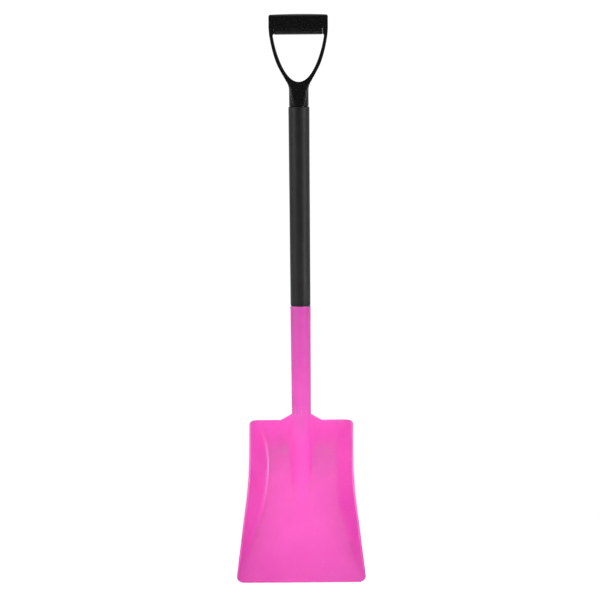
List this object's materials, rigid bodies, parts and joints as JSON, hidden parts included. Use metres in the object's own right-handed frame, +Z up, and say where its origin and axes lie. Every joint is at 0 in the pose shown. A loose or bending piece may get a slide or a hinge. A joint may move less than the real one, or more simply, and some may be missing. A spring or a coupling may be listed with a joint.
{
  "type": "square-mouth scoop shovel",
  "caption": "Moulded scoop shovel with raised side walls, a straight mouth, a long socket on a padded straight shaft and a D-shaped hand grip.",
  "frame": {"origin": "on the plane of the mouth edge, under the middle of the bounding box", "axes": "+Z up the shaft from the mouth to the grip, +X across the blade, -Y the open side of the scoop"},
  "size_m": [0.2466, 0.0892, 1.1],
  "materials": {
    "blade": "satin moulded polypropylene",
    "tube": "plain drawn tube",
    "dowel": "matte",
    "sleeve": "matte closed-cell foam",
    "grip": "satin moulded",
    "fixings": "zinc plated"
  },
  "bodies": {
    "root": {"blade": "blade", "shaft_tube": "tube", "shaft_dowel": "dowel", "shaft_sleeve": "sleeve", "grip_frame": "grip", "grip_bar_insert": "grip", "grip_pin": "fixings", "socket_screw_upper": "fixings", "socket_screw_lower": "fixings"}
  },
  "joints": []
}
